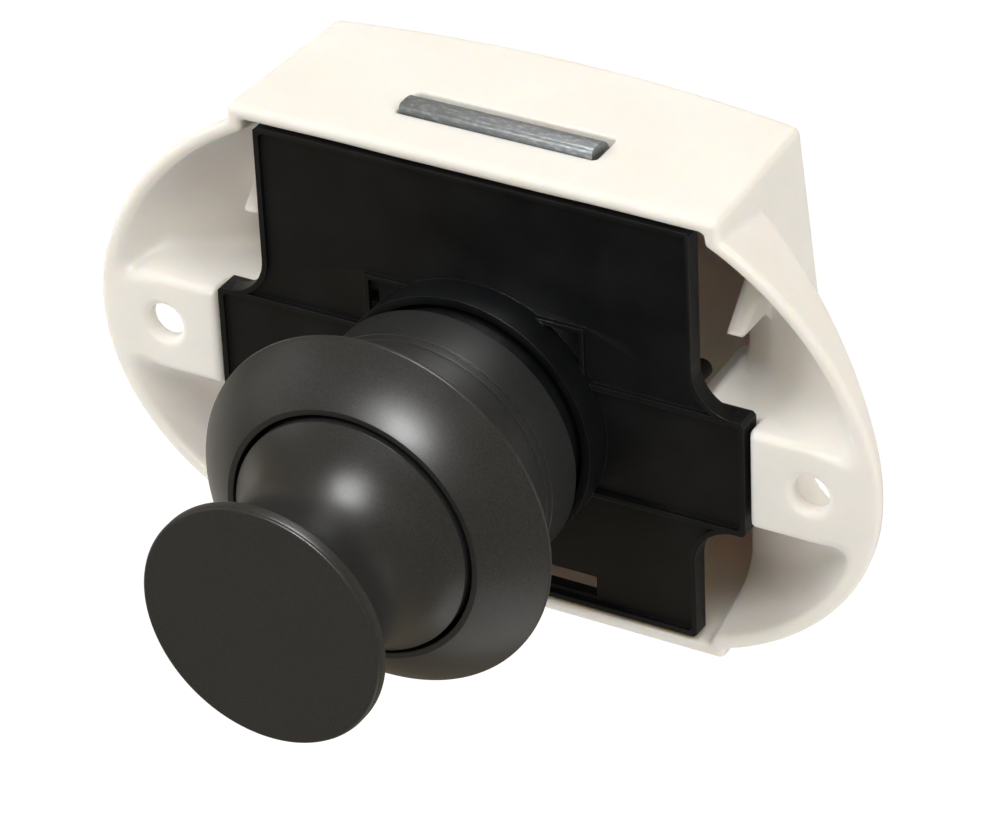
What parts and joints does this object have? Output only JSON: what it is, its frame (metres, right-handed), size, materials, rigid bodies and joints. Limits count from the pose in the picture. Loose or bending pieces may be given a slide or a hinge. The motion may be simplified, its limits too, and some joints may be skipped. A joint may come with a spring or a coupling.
{
  "type": "push-button lock",
  "caption": "Push-button lock for a cabinet or caravan door: a knob pushed through a round rosette drives a bolt out of the top of an eared case.",
  "frame": {"origin": "centre of the door's hole on the door's inner face, which is the knob axis at the front plane of the case", "axes": "+X to the right along the line of the two screws, +Y from the door into the case, +Z the way the bolt leaves the case"},
  "size_m": [0.0784, 0.0605, 0.0455],
  "materials": {
    "case_ivory": "satin moulded, warm ivory white",
    "plate_black": "fine-grained moulded black",
    "trim_anthracite": "satin anthracite-brown paint with a fine metallic grain",
    "plunger_black": "smooth moulded black",
    "screw_steel": "zinc-plated steel",
    "spring_steel": "drawn spring wire",
    "bolt_zinc": "die-cast zinc, lightly scratched"
  },
  "bodies": {
    "lock": {"housing": "case_ivory", "front_plate": "plate_black", "rosette": "trim_anthracite", "return_spring": "spring_steel"},
    "button": {"knob": "trim_anthracite", "plunger": "plunger_black", "knob_screw": "screw_steel"},
    "bolt_body": {"bolt": "bolt_zinc"},
    "follower": {"cam_follower": "spring_steel"}
  },
  "joints": [
    {"name": "button_slide", "type": "slide", "parent": "lock", "child": "button", "axis": [0, 1, 0], "range_m": [0, 0.012], "stiffness_N_per_m": 700, "springref_m": -0.014, "deforming": ["return_spring"]},
    {"name": "bolt_slide", "type": "slide", "parent": "lock", "child": "bolt_body", "axis": [0, 0, 1], "range_m": [0, 0.0072]},
    {"name": "follower_swing", "type": "hinge", "parent": "lock", "child": "follower", "pos_m": [0, 0.0152, -0.0102], "axis": [0, 0, 1], "range_deg": [0, 20.7]}
  ],
  "couplings": [
    {"joint": "bolt_slide", "follows": "button_slide", "ratio": 0.6}
  ]
}
